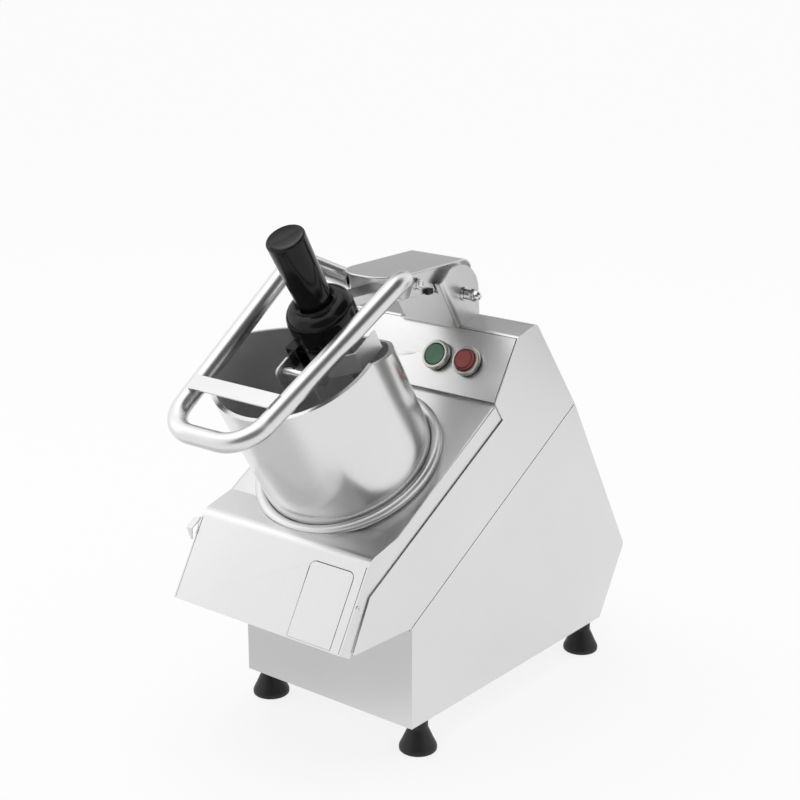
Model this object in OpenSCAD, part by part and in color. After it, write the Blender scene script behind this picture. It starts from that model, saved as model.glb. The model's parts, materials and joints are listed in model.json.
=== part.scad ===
// Counter-top vegetable cutter: a folded steel housing with a sloping lid, a round feed hopper,
// a swinging lever that carries the pusher and hand plunger, and a motor-driven slicing disc.
// Millimetres. +Z is up, -Y is the front, and z = 0 is the table under the rubber feet.

/* [Housing] */
// Width of the housing over its side panels
body_w = 240; // [220:1:280]
// Thickness of the folded sheet
sheet = 1.5; // [1:0.1:2]
// Height of the underside above the table
foot_h = 36.8; // [24:0.1:40]
// Distance of the front wall in front of the origin
front_y = -119; // [-130:1:-105]
// Length of the underside, front to back
base_l = 375; // [360:1:400]
// Height of the front wall of the base
front_h = 118.5; // [110:0.5:126]
// Slope of the seam between the base and the upper housing
seam_tilt = 30; // [29:0.5:32]
// Slope of the rear wall above the seam
rear_top_tilt = 53.7; // [50:0.1:58]
// Slope of the rear wall below the seam
rear_tilt = 60; // [57:0.5:64]
// Slope of the undercut at the bottom of the rear wall
rear_low_tilt = 58.7; // [50:0.1:66]
// Bend radius of the rear edges
rear_bend = 9; // [4:0.5:14]
// Width of the seam between base and upper housing
seam_gap = 0.8; // [0.5:0.1:0.9]
// Height of the flange that laps behind the seam
seam_lap = 12; // [8:1:14]

/* [Deck and lid] */
// Slope of the deck
deck_tilt = 31; // [30:0.5:32]
// Rear edge of the deck behind the front wall
deck_run = 148.5; // [145:0.5:152]
// Height of the deck's rear edge above the underside
deck_rise = 329.1; // [324:0.1:334]
// Length of the flat deck
deck_l = 198; // [192:1:206]
// Length of the shallow ledge in front of the deck
ledge_l = 45; // [42:1:50]
// Slope of the ledge
ledge_tilt = 14.4; // [12:0.1:18]
// Length of the front apron
apron_l = 100.8; // [96:0.1:104]
// Slope of the front apron
apron_tilt = 60; // [57:0.5:63]
// Bend radius between ledge and apron
apron_bend = 16; // [8:1:18]
// Gap between the lid and each side panel
lid_gap = 0.6; // [0.5:0.1:1.5]
// Depth of the lid's side skirts
skirt_h = 30; // [28:1:36]
// Drop of the side panels' top edge below the deck
panel_drop = 22.8; // [20:0.1:25]
// Width of the return along the sides of the apron
return_w = 17.5; // [14:0.5:19]
// Distance of the apron's cover plate from the housing's right side
cover_in = 16; // [12:1:24]
// Width of the apron's cover plate
cover_w = 58; // [40:1:60]
// Length of the apron's cover plate
cover_l = 82; // [56:1:84]
// Groove round the apron's cover plate
cover_gap = 0.8; // [0.4:0.1:0.9]
// Radius of the top corners of the apron's cover plate
cover_round = 7; // [4:1:10]
// Width of the slit along each side of the apron
slit_w = 0.9; // [0.5:0.1:1]

/* [Control panel] */
// Slope of the control panel
panel_tilt = 57.8; // [56:0.1:60]
// Length of the control panel
panel_l = 78; // [74:1:82]
// Step from the deck up to the control panel
panel_step = 3.7; // [2:0.1:5]
// Length of the top plate behind the control panel
top_l = 36; // [32:1:42]
// Slope of the top plate
top_tilt = 14.4; // [10:0.1:18]
// Gap round the control panel
panel_gap = 0.8; // [0.5:0.1:0.9]
// Height of the buttons up the control panel
button_up = 39; // [34:1:46]
// Distance of the stop button from the housing's right side
stop_in = 52; // [44:1:60]
// Distance between the buttons
button_pitch = 42; // [38:1:50]
// Diameter of the button faces
button_d = 25; // [20:0.5:26]
// Diameter of the button bezels
bezel_d = 34; // [31:0.5:36]
// Travel of the buttons
button_travel = 3.4; // [2:0.1:4]

/* [Hopper] */
// Distance of the feed axis down the deck
feed_run = 124.5; // [122:0.5:127]
// Outer radius of the hopper as a share of the housing's width
hopper_share = 0.4; // [0.39:0.001:0.402]
// Wall of the hopper
hopper_wall = 5; // [3:0.5:6]
// Distance of the hopper's flat back inside its round wall
back_in = 14.5; // [12:0.5:17]
// Radius of the hopper's back corners
hopper_corner = 13; // [8:1:18]
// Height of the front rim above the deck
rim_front = 164; // [156:1:166]
// Height of the rear rim above the underside
rim_rear = 409; // [404:1:412]
// Distance from the feed axis back to the step in the rim
rim_step = 10.5; // [4:0.5:20]
// Radius of the bead round the hopper's foot
bead_r = 6; // [4:0.5:7]
// Distance of the bead's centre line outside the hopper
bead_out = 5.5; // [5:0.5:7]

/* [Cutting chamber] */
// Reach of the slicing disc beyond the hopper
disc_over = 6.5; // [4:0.5:7]
// Thickness of the slicing disc
disc_t = 3; // [2:0.5:4]
// Gap between the slicing disc and the chamber bowl
bowl_room = 3.5; // [3:0.5:4]
// Wall of the chamber bowl
bowl_wall = 3; // [2:0.5:4]
// Depth of the chamber bowl
bowl_h = 70; // [64:1:72]
// Radius of the drive spindle
spindle_r = 10; // [8:0.5:12]
// Outer radius of the bearings
bearing_r = 18; // [17:0.5:20]
// Width of the bearings
bearing_w = 10; // [8:1:12]
// Radius of the motor
motor_r = 58; // [50:1:62]
// Length of the motor below its flange
motor_l = 116; // [100:1:124]

/* [Lever] */
// Distance of the hinge pin behind the deck's rear edge, along the deck
pin_run = 89.3; // [87:0.1:91]
// Height of the hinge pin above the deck
pin_rise = 68.1; // [66:0.1:70]
// Diameter of the hinge pin
pin_d = 9; // [8:0.5:11]
// Radius of the lever's tube
tube_r = 10.3; // [9:0.1:11]
// Wall of the lever's tube
tube_wall = 1.5; // [1:0.1:2]
// Height of the lever's loop above the deck
loop_rise = 186; // [184:1:190]
// Distance of the loop's front bar down the deck
loop_front = 268.4; // [262:0.2:276]
// Distance of the loop's rear corners down the deck
loop_back = 11; // [6:1:16]
// Half width of the loop at the front
loop_half_front = 53.8; // [50:0.2:58]
// Half width of the loop at the rear
loop_half_back = 75; // [70:0.5:80]
// Bend radius of the loop's front corners
loop_bend = 38; // [30:1:42]
// Bend radius of the loop's rear corners
loop_heel = 30; // [20:1:34]
// Half width of the hub over its cheeks
hub_half = 33; // [31:0.5:34]
// Half width of the hub's cover plate
hub_cover_half = 37.5; // [36:0.5:38.5]
// Height of the hub's cover plate above the hinge pin
hub_cover_rise = 37.5; // [35:0.5:40]
// Reach of the hub's cover plate in front of the hinge pin
hub_cover_l = 128; // [120:1:134]
// Half distance between the hinge bracket's ears
ear_half = 40; // [39.5:0.5:44]
// Distance of the hinge bracket's web in front of the hinge pin
web_ahead = 28; // [26:1:30]

/* [Pusher and plunger] */
// Height of the pusher's pivot above the deck
pivot_rise = 138; // [134:1:140]
// Distance of the pusher's pivot in front of the feed axis
pivot_ahead = 3.5; // [0:0.5:6]
// Diameter of the pusher's pivot pin
pivot_d = 8; // [6:0.5:9]
// Gap from the hopper's outside to the pusher at its sides
pusher_in = 22; // [20:1:26]
// Height of the pusher's rim above the deck
pusher_h = 44; // [30:1:60]
// Clearance under the pusher
pusher_gap = 3; // [2.5:0.5:5]
// Sheet of the pusher
pusher_sheet = 2; // [1.5:0.5:2.5]
// Sideways place of the plunger
plunger_x = 6.5; // [4:0.5:10]
// Distance of the plunger behind the feed axis
plunger_behind = 48.5; // [46:0.5:49]
// Radius of the plunger's rod
rod_r = 11; // [9:0.5:11.5]
// Radius of the plunger's handle at its foot
handle_r = 19; // [16:0.5:20]
// Widening of the plunger's handle towards its top
handle_flare = 2.2; // [0:0.1:3]
// Length of the plunger's handle
handle_l = 85.6; // [60:0.1:90]
// Radius of the guide head
head_r = 37; // [34:0.5:38]
// Height of the guide head's underside above the deck
head_low = 155; // [153:1:158]
// Height of the guide head's top above the deck
head_top = 196.5; // [192:0.5:200]

/* [Feet] */
// Distance of the feet's middles inside the side panels
foot_in = 11.15; // [11.1:0.05:20]
// Distance of the front feet behind the front wall
foot_front = 25; // [22:1:40]
// Distance of the rear feet from the end of the underside
foot_rear = 24.7; // [22:0.1:60]
// Radius of the feet at the flare
foot_r = 21; // [17:0.5:22]

/* [Hidden] */
$fn = 96;

steel = [0.80, 0.81, 0.82];
bright = [0.88, 0.89, 0.90];
black = [0.06, 0.06, 0.065];
rubber = [0.09, 0.09, 0.09];
green = [0.22, 0.42, 0.33];
red = [0.56, 0.20, 0.20];
cast = [0.66, 0.67, 0.68];

// Clearances
running = 0.05;
seated = 0.3;
slip = 0.1;
swing_room = 2.3;
// Where a curved piece runs into a straight one it is finer by a step and sunk in by a run
joint_step = 0.02;
joint_run = 0.3;

// Plane geometry in the side view: points are [y, z]
function unit(v) = v / norm(v);
function ray(angle) = [cos(angle), sin(angle)];
function cross2(a, b) = a.x * b.y - a.y * b.x;
function cross_point(p, a, q, b) = p + ray(a) * cross2(q - p, ray(b)) / cross2(ray(a), ray(b));
function left_normal(a, b) = let (d = unit(b - a)) [-d.y, d.x];
function arc(centre, r, from, to, steps) =
  [for (i = [0 : steps]) centre + r * ray(from + (to - from) * i / steps)];
function corner_arc(a, b, c, r, steps) =
  let (
    u = unit(a - b),
    v = unit(c - b),
    half = acos(u * v) / 2,
    centre = b + unit(u + v) * r / sin(half),
    p = b + u * r / tan(half) - centre,
    q = b + v * r / tan(half) - centre,
    turn = atan2(cross2(p, q), p * q),
    start = atan2(p.y, p.x)
  )
  arc(centre, r, start, start + turn, steps);
// A closed outline with its corners rounded; a radius of 0 keeps a corner sharp
function rounded(p, r, steps = 8) =
  [for (i = [0 : len(p) - 1])
    each r[i] <= 0 ? [p[i]]
      : corner_arc(p[(i + len(p) - 1) % len(p)], p[i], p[(i + 1) % len(p)], r[i], steps)];
// A closed outline with each side moved inwards by its own distance
function inset(p, d) =
  [for (i = [0 : len(p) - 1])
    let (
      before = (i + len(p) - 1) % len(p),
      m = left_normal(p[before], p[i]),
      n = left_normal(p[i], p[(i + 1) % len(p)]),
      det = cross2(m, n)
    )
    p[i] + [d[before] * n.y - d[i] * m.y, m.x * d[i] - n.x * d[before]] / det];
// An open path moved sideways, and the strip of sheet between the two
function beside(path, d) =
  let (last = len(path) - 1)
  [for (i = [0 : last])
    let (
      m = left_normal(path[max(i - 1, 0)], path[max(i, 1)]),
      n = left_normal(path[min(i, last - 1)], path[min(i + 1, last)])
    )
    path[i] + d * (m + n) / (1 + m * n)];
function strip(path, t) =
  let (other = beside(path, t))
  concat(path, [for (i = [len(path) - 1 : -1 : 0]) other[i]]);

// Side view of the housing
half_w = body_w / 2;
inner_half = half_w - sheet;
lid_half = inner_half - lid_gap;
hopper_r = body_w * hopper_share;
hopper_back = hopper_r - back_in;
bead_ring_r = hopper_r + bead_out;
disc_r = hopper_r + disc_over;
bowl_r = disc_r + bowl_room;
pusher_half = hopper_r - pusher_in;
deck_back = [front_y + deck_run, foot_h + deck_rise];
function deck_point(s, w) = deck_back + s * ray(deck_tilt) + w * ray(deck_tilt + 90);
front_low = [front_y, foot_h];
front_high = [front_y, foot_h + front_h];
back_low = [front_y + base_l, foot_h];
panel_lap = 2.5;
panel_foot = deck_point(-panel_lap, panel_step);
panel_head = panel_foot + panel_l * ray(panel_tilt);
top_back = panel_head + top_l * ray(top_tilt);
seam_back = cross_point(front_high, seam_tilt, top_back, -rear_top_tilt);
rear_corner = cross_point(seam_back, -rear_tilt, back_low, rear_low_tilt);
lid_knee = deck_point(-deck_l, 0);
lid_edge = lid_knee - ledge_l * ray(ledge_tilt);
lid_toe = lid_edge - apron_l * ray(apron_tilt);
toe_in = lid_toe + return_w * ray(apron_tilt - 90);
side_front_tilt = apron_tilt + 2.6;
side_lift = 2;
front_gap = 1.4;
side_back = deck_point(-1, -panel_drop);
side_front_low = cross_point(toe_in + [front_gap, 0], side_front_tilt, front_high, 180 - side_lift);
side_front_high = cross_point(side_front_low, side_front_tilt, side_back, seam_tilt);
base_outline = [front_low, back_low, rear_corner, seam_back, front_high];
upper_outline = [
  side_front_low, front_high, seam_back, top_back, panel_head, panel_foot, side_back, side_front_high
];
past = 40;

module across(width) {
  rotate([90, 0, 90]) linear_extrude(height = width, center = true) children();
}
module slab(from, to) {
  translate([from, 0, 0]) rotate([90, 0, 90]) linear_extrude(height = to - from) children();
}
module both_sides() {
  children();
  mirror([1, 0, 0]) children();
}
// Deck frame: x across, y up the slope from the deck's rear edge, z square to the deck
module deck() {
  translate([0, deck_back.x, deck_back.y]) rotate([deck_tilt, 0, 0]) children();
}
// Feed frame: the deck frame moved to the feed axis
module feed() {
  deck() translate([0, -feed_run, 0]) children();
}
module apron() {
  translate([0, lid_toe.x, lid_toe.y]) rotate([apron_tilt, 0, 0]) children();
}
module panel() {
  translate([0, panel_foot.x, panel_foot.y]) rotate([panel_tilt, 0, 0]) children();
}
module ring(inner, outer, low, high) {
  difference() {
    translate([0, 0, low]) cylinder(r = outer, h = high - low);
    translate([0, 0, low - 1]) cylinder(r = inner, h = high - low + 2);
  }
}
module rod_x(r, from, to) {
  translate([from, 0, 0]) rotate([0, 90, 0]) cylinder(r = r, h = to - from);
}

// Base: front wall, two sides and the folded rear wall, open at the seam and underneath
base_bends = [0, 0, rear_bend, 0, 0];
gland_up = 0.5;
gland_r = 8;
module rear_low() {
  at = back_low + gland_up * (rear_corner - back_low);
  translate([0, at.x, at.y]) rotate([rear_low_tilt - 180, 0, 0]) children();
}
module base_shell() {
  lap_path = [front_high + [sheet, 0], seam_back + (sheet + rear_bend) * ray(seam_tilt + 180)];
  color(steel) difference() {
    union() {
      difference() {
        across(body_w) polygon(rounded(base_outline, base_bends));
        across(2 * inner_half)
          polygon(rounded(inset(base_outline, [-past, sheet, sheet, -past, sheet]),
            [0, 0, rear_bend - sheet, 0, 0]));
      }
      both_sides()
        slab(inner_half - sheet, inner_half)
          polygon(strip(beside(lap_path, -seam_lap), 2 * seam_lap));
    }
    rear_low() translate([0, 0, -past]) cylinder(r = gland_r + slip, h = 2 * past);
  }
}

// Bottom plate: closes the base between its walls, with vent slots and holes for the feet
foot_x = half_w - foot_in;
foot_places = [for (x = [-foot_x, foot_x], y = [foot_front, base_l - foot_rear]) [x, front_y + y]];
stud_r = 4;
vent_count = 9;
vent_pitch = 14;
vent_l = 90;
vent_w = 5;
module bottom_plate() {
  back = cross_point(back_low, rear_low_tilt, front_low + [0, sheet], 0).x - sheet / sin(rear_low_tilt);
  low_back = back_low.x - sheet / sin(rear_low_tilt);
  middle = (front_y + back) / 2;
  color(steel) difference() {
    across(2 * inner_half)
      polygon([[front_y + sheet, foot_h], [low_back, foot_h],
        [back, foot_h + sheet], [front_y + sheet, foot_h + sheet]]);
    for (p = foot_places)
      translate([p.x, p.y, 0]) cylinder(r = stud_r + slip, h = foot_h + 2 * sheet);
    for (i = [0 : vent_count - 1])
      translate([0, middle + (i - (vent_count - 1) / 2) * vent_pitch, foot_h])
        cube([vent_l, vent_w, 4 * sheet], center = true);
  }
}

// Upper housing: side panels, rear wall and top plate in one folding
module upper_shell() {
  outline = inset(upper_outline, [0, seam_gap, 0, 0, 0, 0, 0, 0]);
  hollow = inset(upper_outline, [-past, -past, sheet, sheet, -past, -past, -past, -past]);
  bend_top = 5;
  color(steel) difference() {
    across(body_w) polygon(rounded(outline, [3, 0, 0, rear_bend, bend_top, 0, 0, 4]));
    across(2 * inner_half)
      polygon(rounded(hollow, [0, 0, 0, rear_bend - sheet, bend_top - sheet, 0, 0, 0]));
  }
}

// Control panel: a plate set between the side panels, folded in at its foot
panel_t = 2;
panel_fold = 10;
barrel_r = 11;
stop_x = half_w - stop_in;
start_x = stop_x - button_pitch;
module button_panel() {
  half = inner_half - panel_gap;
  foot = panel_gap;
  head = panel_l - sheet - panel_gap;
  color(steel) panel() difference() {
    union() {
      translate([-half, foot, -panel_t]) cube([2 * half, head - foot, panel_t]);
      translate([-half, foot, -panel_fold]) cube([2 * half, panel_t, panel_fold]);
    }
    for (x = [start_x, stop_x])
      translate([x, button_up, -panel_fold]) cylinder(r = barrel_r + slip, h = 2 * panel_fold);
  }
}

// Rubber foot: a short stem that flares to a broad base, moulded round a stud
foot_stem_r = 11;
stud_low = 8;
module foot(place) {
  edge = 2;
  band = 6;
  neck = 25;
  profile = [
    [0, 0], [foot_r - edge, 0], [foot_r, edge], [foot_r, band], [foot_stem_r + edge / 4, neck],
    [foot_stem_r, neck + edge], [foot_stem_r, foot_h], [0, foot_h]
  ];
  color(rubber) translate([place.x, place.y, 0]) difference() {
    rotate_extrude() polygon(profile);
    translate([0, 0, stud_low]) cylinder(r = stud_r + running, h = foot_h);
  }
}

// Studs of the feet, with a nut on top of the bottom plate
module foot_studs() {
  nut_r = 7.5;
  nut_h = 6.5;
  thread_over = 3;
  color(bright) for (p = foot_places)
    translate([p.x, p.y, 0]) {
      translate([0, 0, stud_low]) cylinder(r = stud_r, h = foot_h + sheet + nut_h + thread_over - stud_low);
      translate([0, 0, foot_h + sheet]) cylinder(r = nut_r, h = nut_h, $fn = 6);
    }
}

// Cable gland in the undercut rear wall: flange, dome nut, and lock nut inside
module cable_gland() {
  bore_r = 4.5;
  profile = [
    [bore_r, -20], [gland_r, -20], [gland_r, -12], [gland_r + 3, -12], [gland_r + 3, -sheet],
    [gland_r, -sheet], [gland_r, 0], [gland_r + 3, 0], [gland_r + 3, 5], [gland_r + 1, 6],
    [gland_r + 1, 14], [gland_r - 2, 18], [bore_r, 18]
  ];
  color(black) rear_low() rotate_extrude() polygon(profile);
}

// Floor plate: the sloping deck between the seam flanges that carries the bowl and the motor
floor_top = -106;
floor_t = 2;
spindle_hole = spindle_r + 2;
module floor_plate() {
  front = 225;
  back = 60;
  half = inner_half - sheet;
  color(steel) deck() difference() {
    translate([-half, -front, floor_top - floor_t]) cube([2 * half, front + back, floor_t]);
    translate([0, -feed_run, floor_top - 2 * floor_t]) cylinder(r = spindle_hole, h = 4 * floor_t);
  }
}

// Chamber bowl: a shallow drum under the lid, open at the front where the slices leave
bowl_top = -sheet - seated;
bowl_low = bowl_top - bowl_h;
bowl_floor = 4;
mouth_half = 0.8 * bowl_r;
mouth_top = 12;
module chamber_bowl() {
  outer = bowl_r + bowl_wall;
  color(cast) feed() difference() {
    translate([0, 0, bowl_low]) cylinder(r = outer, h = bowl_h);
    translate([0, 0, bowl_low + bowl_floor]) cylinder(r = bowl_r, h = bowl_h);
    translate([0, 0, bowl_low - 1]) cylinder(r = spindle_hole, h = bowl_h);
    translate([-mouth_half, -2 * outer, bowl_low + bowl_floor])
      cube([2 * mouth_half, 2 * outer - bowl_r / 3, bowl_h - bowl_floor - mouth_top]);
  }
}

// Discharge chute: the tray under the bowl's mouth that drops the slices in front of the base
module discharge_chute() {
  half = lid_half - sheet - seated;
  top = bowl_low - slip;
  under_bowl = 40.5;
  before_bowl = bowl_r + bowl_wall + 2.5;
  over = [0, 2];
  lap = [0, 6];
  drop = front_high - [sheet + seated, 0];
  path = [
    deck_point(-feed_run - under_bowl, top), deck_point(-feed_run - before_bowl, top), drop + over, drop - lap
  ];
  color(steel) across(2 * half) polygon(strip(path, sheet));
}

// Bearing housing between floor plate and bowl, bored for a bearing at each end
housing_r = 30;
module bearing_housing() {
  low = floor_top;
  high = bowl_low;
  color(cast) feed() difference() {
    ring(spindle_r + 4, housing_r, low, high);
    translate([0, 0, high - bearing_w]) cylinder(r = bearing_r + running, h = 2 * bearing_w);
    translate([0, 0, low - bearing_w]) cylinder(r = bearing_r + running, h = 2 * bearing_w);
  }
}
module upper_bearing() {
  color(bright) feed() ring(spindle_r + running, bearing_r, bowl_low - bearing_w, bowl_low);
}
module lower_bearing() {
  color(bright) feed() ring(spindle_r + running, bearing_r, floor_top, floor_top + bearing_w);
}

// Motor: flange under the floor plate, finned barrel and fan cowl, along the feed axis
spindle_low = floor_top - 60;
module motor_body() {
  top = floor_top - floor_t;
  flange_t = 8;
  flange_r = motor_r + 8;
  fin_count = 9;
  fin_pitch = 8;
  fin_t = 3;
  fin_h = 5;
  low = top - flange_t - motor_l;
  color(cast) feed() difference() {
    union() {
      translate([0, 0, top - flange_t]) cylinder(r = flange_r, h = flange_t);
      translate([0, 0, low]) cylinder(r = motor_r - fin_h, h = motor_l);
      for (i = [0 : fin_count - 1])
        translate([0, 0, top - flange_t - (i + 1) * fin_pitch - fin_t]) cylinder(r = motor_r, h = fin_t);
      translate([0, 0, low]) cylinder(r = motor_r, h = 28);
    }
    translate([0, 0, spindle_low - 2]) cylinder(r = spindle_r + running, h = top - spindle_low + 4);
  }
}

// Push buttons: a bezel with a threaded barrel through the panel, a cap, and contacts behind
bezel_h = 8;
barrel_l = 18;
stem_r = 7.5;
cap_low = button_travel + 0.4;
module at_button(x) {
  panel() translate([x, button_up, 0]) children();
}
module bezel(x) {
  lip = button_d / 2 + seated;
  back_nut = 4;
  profile = [
    [stem_r + running, 0], [lip, 0], [lip, bezel_h - 0.6], [lip + 0.6, bezel_h],
    [bezel_d / 2 - 1.2, bezel_h], [bezel_d / 2, bezel_h - 1.2], [bezel_d / 2, 0], [barrel_r, 0],
    [barrel_r, -panel_t], [barrel_r + 3, -panel_t], [barrel_r + 3, -panel_t - back_nut],
    [barrel_r, -panel_t - back_nut], [barrel_r, -barrel_l], [stem_r + running, -barrel_l]
  ];
  color(bright) at_button(x) rotate_extrude() polygon(profile);
}
module cap(x, rise, tint) {
  r = button_d / 2;
  edge = 1;
  stem_low = button_travel + seated - barrel_l;
  profile = [
    [0, stem_low], [stem_r, stem_low], [stem_r, cap_low], [r, cap_low],
    [r, bezel_h + rise - edge], [r - edge, bezel_h + rise], [r - 3, bezel_h + rise],
    [r - 4, bezel_h + rise - 0.5], [0, bezel_h + rise - 0.5]
  ];
  color(tint) at_button(x) rotate_extrude() polygon(profile);
}
module switch_block(x) {
  side = 26;
  depth = 30;
  color(black) at_button(x)
    translate([-side / 2, -side / 2, -barrel_l - depth]) cube([side, side, depth]);
}
module start_bezel() {
  bezel(start_x);
}
module stop_bezel() {
  bezel(stop_x);
}
module start_switch() {
  switch_block(start_x);
}
module stop_switch() {
  switch_block(stop_x);
}
module start_button() {
  cap(start_x, 0.6, green);
}
module stop_button() {
  cap(stop_x, 4, red);
}

// Hinge bracket: a broad right ear and a small left one, joined by a base strip and a front web
pin = deck_point(pin_run, pin_rise);
ear_t = 3;
ear_front = pin + web_ahead * ray(deck_tilt + 180);
ear_toe = cross_point(ear_front, deck_tilt + 90, panel_head, top_tilt);
ear_heel = top_back - 2 * ray(top_tilt);
hub_low = 9;
web_gap = 3.2;
web_h = (pin.y + hub_low - web_gap - ear_toe.y) / cos(deck_tilt);
web_t = 3;
web_left = 32;
web_corner = 10;
crown_r = 37;
crown = pin + [-10, -3];
crown_end = 126;
flange_h = 37;
flange_in = 34.5;
small_ear_r = 12;
strip_t = 2;
lip_half = 27;
lip_top = pin.y - 9.5;
bumper_x = 18;
bumper_y = pin.x - 17.5;
bumper_r = 5;
module at_pin() {
  translate([0, pin.x, pin.y]) children();
}
module hinge_bracket() {
  flange_top = ear_front + flange_h * ray(deck_tilt + 90);
  big_ear = concat(arc(crown, crown_r, 0, crown_end, 28), [flange_top, ear_toe, ear_heel]);
  small_toe = cross_point(pin + small_ear_r * ray(deck_tilt + 180), deck_tilt + 90, panel_head, top_tilt);
  small_ear = concat(arc(pin, small_ear_r, deck_tilt, deck_tilt + 180, 24), [small_toe, ear_heel]);
  web = rounded(
    [[-web_left, 0], [ear_half, 0], [ear_half, web_h], [-web_left, web_h]], [web_corner, 0, 0, 0]
  );
  flange = [[flange_in, 0], [ear_half, 0], [ear_half, norm(flange_top - ear_toe)],
    [flange_in, norm(flange_top - ear_toe)]];
  strip_up = strip_t * ray(top_tilt + 90);
  lip_from = ear_front.x - 1;
  lip_to = bumper_y + bumper_r + 2.5;
  color(steel) difference() {
    union() {
      slab(ear_half, ear_half + ear_t) polygon(big_ear);
      slab(-ear_half - ear_t, -ear_half) polygon(small_ear);
      translate([0, ear_toe.x, ear_toe.y]) rotate([deck_tilt + 90, 0, 0]) translate([0, 0, -web_t])
        linear_extrude(height = web_t) {
          polygon(web);
          polygon(flange);
        }
      across(2 * ear_half)
        polygon([ear_toe, ear_heel, ear_heel + strip_up, ear_toe + strip_up]);
      translate([-lip_half, lip_from, lip_top - strip_t]) cube([2 * lip_half, lip_to - lip_from, strip_t]);
    }
    at_pin() rod_x(pin_d / 2 + running, -2 * ear_half, 2 * ear_half);
  }
}

// Hinge pin with a head on the left, a washer and a long free end on the right
module hinge_pin() {
  end_over = 23;
  washer_r = 8;
  outside = ear_half + ear_t;
  color(bright) at_pin() {
    rod_x(pin_d / 2, -outside - 4, outside + end_over);
    rod_x(pin_d / 2 + 2.5, -outside - 5, -outside - seated);
    rod_x(washer_r, outside + seated, outside + 3);
    rod_x(pin_d / 2 + 2, outside + end_over - 7, outside + end_over);
  }
}

// Rubber bumpers on the bracket's lip, under the hub's stop plate
stop_low = 0.5;
module lever_bumpers() {
  color(black) both_sides()
    translate([bumper_x, bumper_y, lip_top])
      cylinder(r = bumper_r, h = pin.y + stop_low - seated - lip_top);
}

// Lid: deck, ledge and apron in one folding, with side skirts and a seat for the hopper's bead
seat_r = bead_ring_r + bead_r + 0.1;
lid_lip = 4;
lid_path = concat(
  [deck_back, lid_knee],
  corner_arc(lid_knee, lid_edge, lid_toe, apron_bend, 8),
  [lid_toe, lid_toe + lid_lip * ray(apron_tilt - 90)]
);
module feed_hole(r, back) {
  intersection() {
    translate([0, 0, -20]) cylinder(r = r, h = 40);
    translate([-2 * r, -2 * r, -20]) cube([4 * r, 2 * r + back, 40]);
  }
}
cover_x = half_w - cover_in - cover_w;
function cover_outline(low, grow) =
  rounded(
    [[cover_x - grow, low], [cover_x + cover_w + grow, low],
      [cover_x + cover_w + grow, sheet + cover_l + grow], [cover_x - grow, sheet + cover_l + grow]],
    [0, 0, cover_round + grow, cover_round + grow]
  );
module lid() {
  inner_r = hopper_r - hopper_wall;
  slit_l = apron_l - apron_bend * tan((apron_tilt - ledge_tilt) / 2) - 2 * sheet;
  skirt_front = cross_point(toe_in, apron_tilt, deck_point(0, -skirt_h), deck_tilt);
  under = concat(lid_path, [toe_in, skirt_front, deck_point(0, -skirt_h)]);
  color(steel) difference() {
    union() {
      difference() {
        across(2 * lid_half) polygon(strip(lid_path, sheet));
        feed() translate([0, 0, -2 * sheet]) cylinder(r = seat_r, h = past);
      }
      feed() translate([0, 0, -sheet]) cylinder(r = seat_r + sheet, h = sheet);
      intersection() {
        feed() ring(seat_r, seat_r + sheet, -sheet, past);
        across(2 * lid_half) polygon(under);
      }
      both_sides() slab(lid_half - sheet, lid_half) polygon(under);
    }
    feed() feed_hole(inner_r, hopper_back - hopper_wall);
    apron() translate([0, 0, -2 * sheet])
      linear_extrude(height = 4 * sheet) polygon(cover_outline(sheet, cover_gap));
    apron() both_sides() translate([lid_half - sheet - slit_w, sheet, -2 * sheet])
      cube([slit_w, slit_l, 4 * sheet]);
  }
}

// Cover plate let into the apron
module apron_plate() {
  color(steel) apron() translate([0, 0, -sheet])
    linear_extrude(height = sheet) polygon(cover_outline(sheet + seated, 0));
}

// Hopper: a D-shaped wall with rounded back corners, cut to a stepped rim
corner_y = hopper_back - hopper_corner;
corner_x = sqrt(pow(hopper_r - hopper_corner, 2) - pow(corner_y, 2));
corner_turn = atan2(corner_y, corner_x);
module wall_section(outer, step) {
  translate([outer - hopper_wall + step, 0]) square([hopper_wall - 2 * step, rim_front + past]);
}
module back_corner() {
  sink = joint_run / hopper_corner * 180 / PI;
  translate([corner_x, corner_y, 0]) rotate([0, 0, corner_turn - sink])
    rotate_extrude(angle = 90 - corner_turn + 2 * sink) wall_section(hopper_corner, joint_step);
}
module hopper() {
  rim_back = foot_h + rim_rear;
  step = feed_run - rim_step;
  color(bright) difference() {
    feed() {
      rotate([0, 0, 180 - corner_turn]) rotate_extrude(angle = 180 + 2 * corner_turn) wall_section(hopper_r, 0);
      both_sides() back_corner();
      translate([-corner_x, hopper_back - hopper_wall, 0])
        cube([2 * corner_x, hopper_wall, rim_front + past]);
    }
    deck() translate([-2 * hopper_r, -4 * hopper_r, rim_front])
      cube([4 * hopper_r, 4 * hopper_r - step, 2 * past]);
    across(4 * hopper_r)
      polygon([
        [cross_point(deck_point(-step, 0), deck_tilt + 90, [0, rim_back], 0).x, rim_back],
        [deck_back.x + past, rim_back], [deck_back.x + past, rim_back + 4 * past],
        deck_point(-step, rim_front + 3 * past)
      ]);
  }
}

// Bead round the foot of the hopper, seated in the lid
module hopper_ring() {
  inner = hopper_r + slip;
  color(bright) feed() difference() {
    union() {
      translate([0, 0, bead_r]) rotate_extrude() translate([bead_ring_r, 0]) circle(r = bead_r);
      ring(inner, bead_ring_r, 0, bead_r);
    }
    translate([0, 0, -past]) cylinder(r = inner, h = 2 * past);
  }
}

// Screw on the right skirt of the lid
module lid_screw() {
  up = 50.9;
  out = 13.4;
  head_h = 1;
  at = toe_in + up * ray(apron_tilt) + out * ray(apron_tilt + 90);
  color(bright) translate([0, at.x, at.y]) rod_x(3 * head_h, lid_half, lid_half + head_h);
}

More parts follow.
